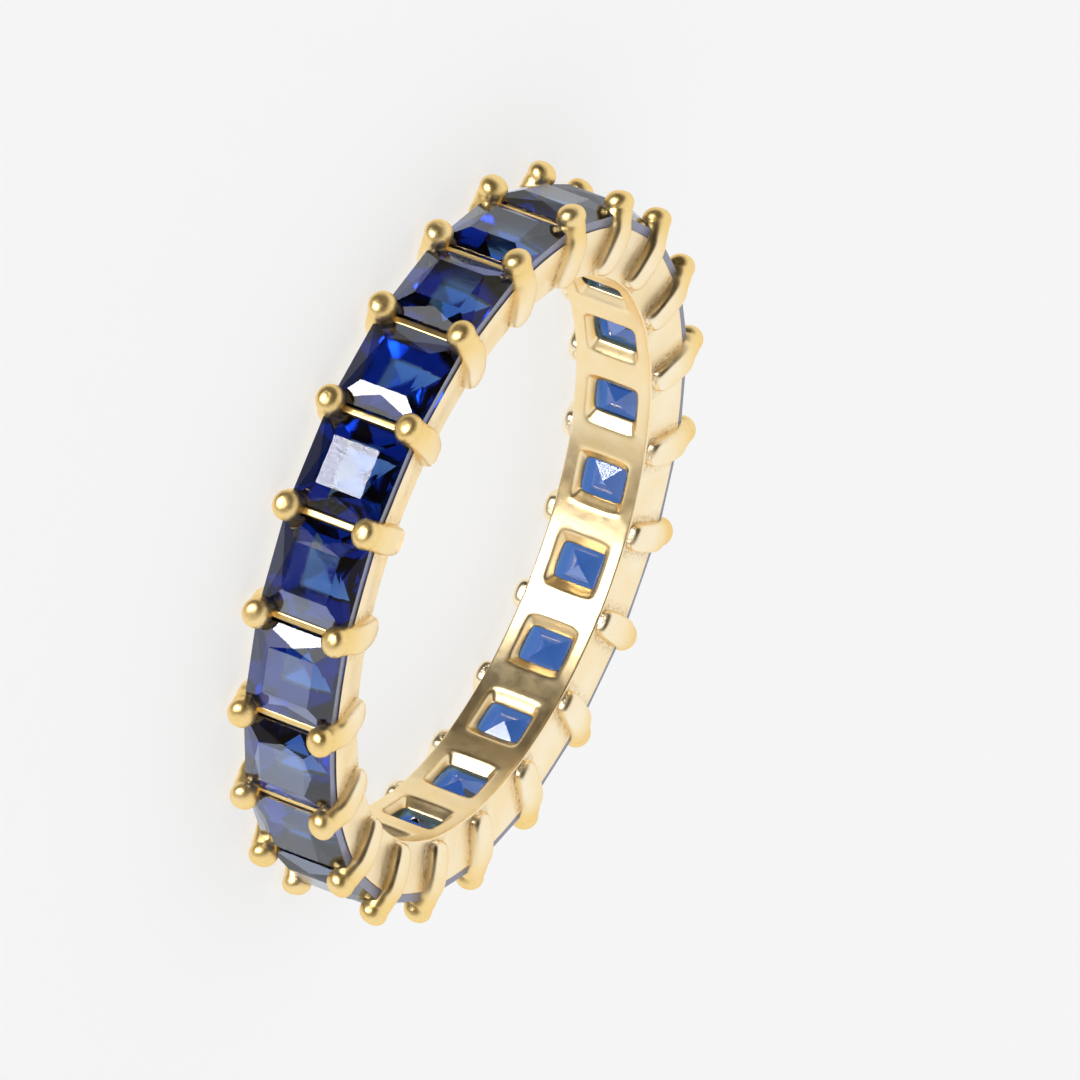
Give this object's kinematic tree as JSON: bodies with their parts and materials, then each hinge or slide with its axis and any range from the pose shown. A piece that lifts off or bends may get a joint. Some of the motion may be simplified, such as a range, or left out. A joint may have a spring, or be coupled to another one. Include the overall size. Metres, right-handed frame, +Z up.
{
  "type": "eternity ring with square gemstones",
  "caption": "Full eternity ring: square-cut blue stones side by side in shared gold prongs, over a pierced band that a finger goes through.",
  "frame": {"origin": "on the surface that the ring lies on, under the middle of the finger hole", "axes": "+Z up along the finger hole's axis, and +X through a junction between two stones"},
  "size_m": [0.0223, 0.0224, 0.0037],
  "materials": {
    "gold": "polished",
    "sapphire": "polished"
  },
  "bodies": {
    "root": {"setting": "gold", "stone_01": "sapphire", "stone_02": "sapphire", "stone_03": "sapphire", "stone_04": "sapphire", "stone_05": "sapphire", "stone_06": "sapphire", "stone_07": "sapphire", "stone_08": "sapphire", "stone_09": "sapphire", "stone_10": "sapphire", "stone_11": "sapphire", "stone_12": "sapphire", "stone_13": "sapphire", "stone_14": "sapphire", "stone_15": "sapphire", "stone_16": "sapphire", "stone_17": "sapphire", "stone_18": "sapphire", "stone_19": "sapphire", "stone_20": "sapphire", "stone_21": "sapphire"}
  },
  "joints": []
}
